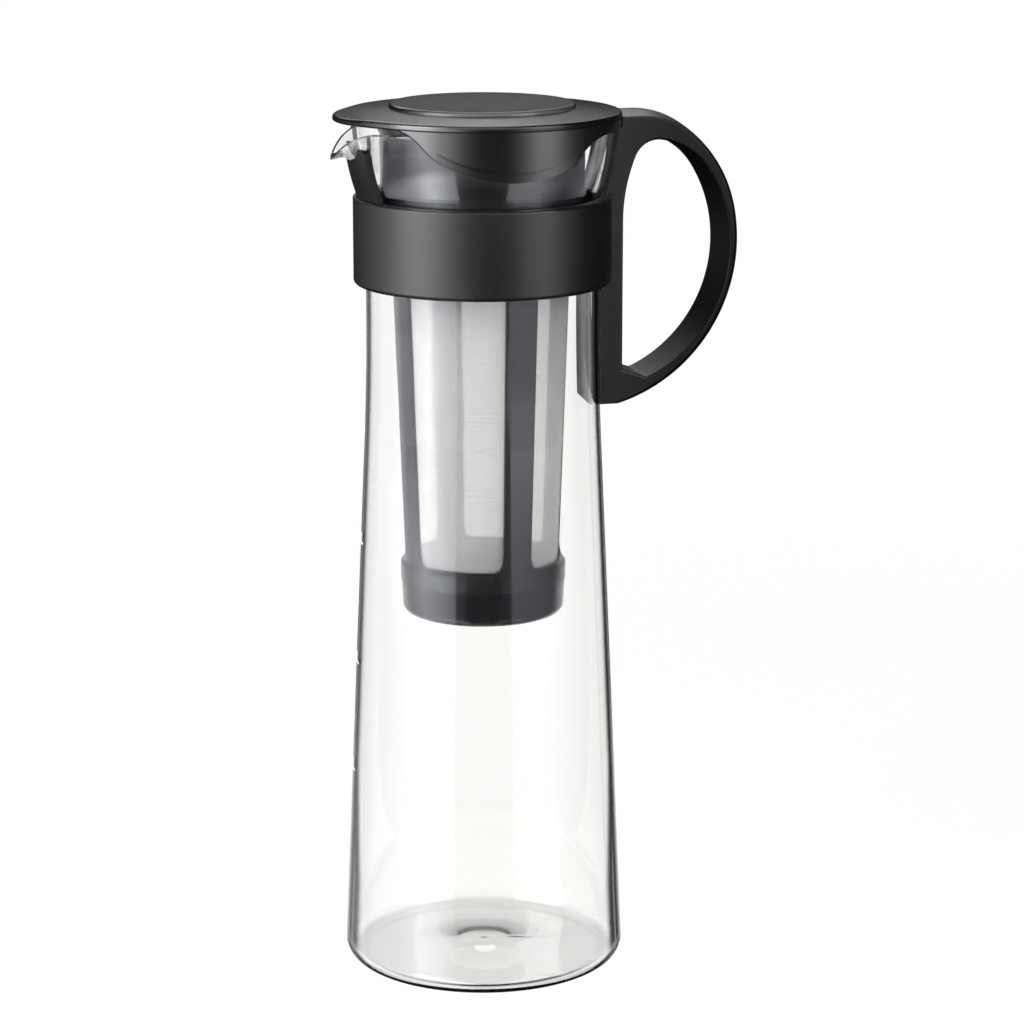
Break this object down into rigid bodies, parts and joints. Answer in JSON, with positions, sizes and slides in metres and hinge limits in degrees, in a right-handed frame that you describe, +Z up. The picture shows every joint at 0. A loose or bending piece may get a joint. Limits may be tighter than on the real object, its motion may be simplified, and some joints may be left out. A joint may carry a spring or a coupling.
{
  "type": "cold brew coffee maker",
  "caption": "Tall glass carafe with a pulled spout, split neck band, D-loop handle, hanging mesh strainer with a twist-off base, and a lift-off lid.",
  "frame": {"origin": "centre of the carafe's foot ring, on the surface that it stands on", "axes": "+Z up along the carafe's axis, +X towards the handle, -X towards the spout"},
  "size_m": [0.1343, 0.0914, 0.2834],
  "materials": {
    "clear_glass": "clear heat-resistant glass",
    "matte_black": "fine matte moulded polypropylene",
    "gloss_black": "satin moulded polypropylene",
    "white_mesh": "fine woven polyester mesh"
  },
  "bodies": {
    "carafe": {"glass_carafe": "clear_glass", "neck_band": "matte_black", "handle": "matte_black"},
    "strainer": {"strainer_frame": "gloss_black", "mesh_sleeve": "white_mesh"},
    "strainer_cap": {"strainer_base": "gloss_black"},
    "lid": {"lid": "matte_black"}
  },
  "joints": [
    {"name": "strainer_lift", "type": "slide", "parent": "carafe", "child": "strainer", "axis": [0, 0, 1], "range_m": [0, 0.17]},
    {"name": "strainer_base_turn", "type": "hinge", "parent": "strainer", "child": "strainer_cap", "pos_m": [0, 0, 0.122], "axis": [0, 0, 1], "range_deg": [0, 30]},
    {"name": "lid_lift", "type": "slide", "parent": "strainer", "child": "lid", "axis": [0, 0, 1], "range_m": [0, 0.05]}
  ]
}
